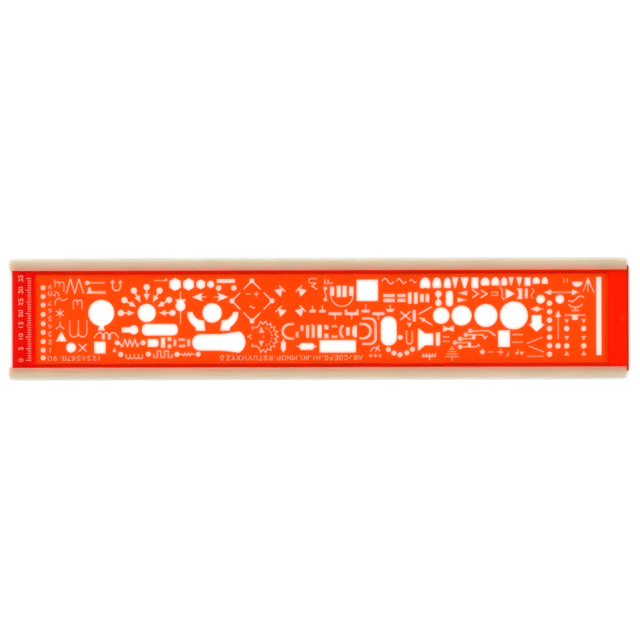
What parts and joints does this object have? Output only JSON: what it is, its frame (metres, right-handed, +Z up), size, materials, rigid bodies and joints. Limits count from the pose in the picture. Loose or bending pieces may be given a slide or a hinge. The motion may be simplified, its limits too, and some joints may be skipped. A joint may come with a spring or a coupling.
{
  "type": "symbol drawing template",
  "caption": "Transparent orange electronics symbol template with cut-through outlines and numerals, and two ivory push-on edge rails that slide along it.",
  "frame": {"origin": "middle of the whole object, on the surface that the rails stand on", "axes": "+X along the long side, +Y across it towards the top of the symbols, +Z up through the plate"},
  "size_m": [0.265, 0.0504, 0.0032],
  "materials": {
    "clear_orange": "polished, transparent",
    "ivory": "satin, translucent"
  },
  "bodies": {
    "plate": {"stencil_plate": "clear_orange"},
    "upper_rail": {"upper_edge_rail": "ivory"},
    "lower_rail": {"lower_edge_rail": "ivory"}
  },
  "joints": [
    {"name": "upper_rail_slide", "type": "slide", "parent": "plate", "child": "upper_rail", "axis": [1, 0, 0], "range_m": [-0.2632, 0.2648]},
    {"name": "lower_rail_slide", "type": "slide", "parent": "plate", "child": "lower_rail", "axis": [1, 0, 0], "range_m": [-0.26295, 0.26505]}
  ]
}
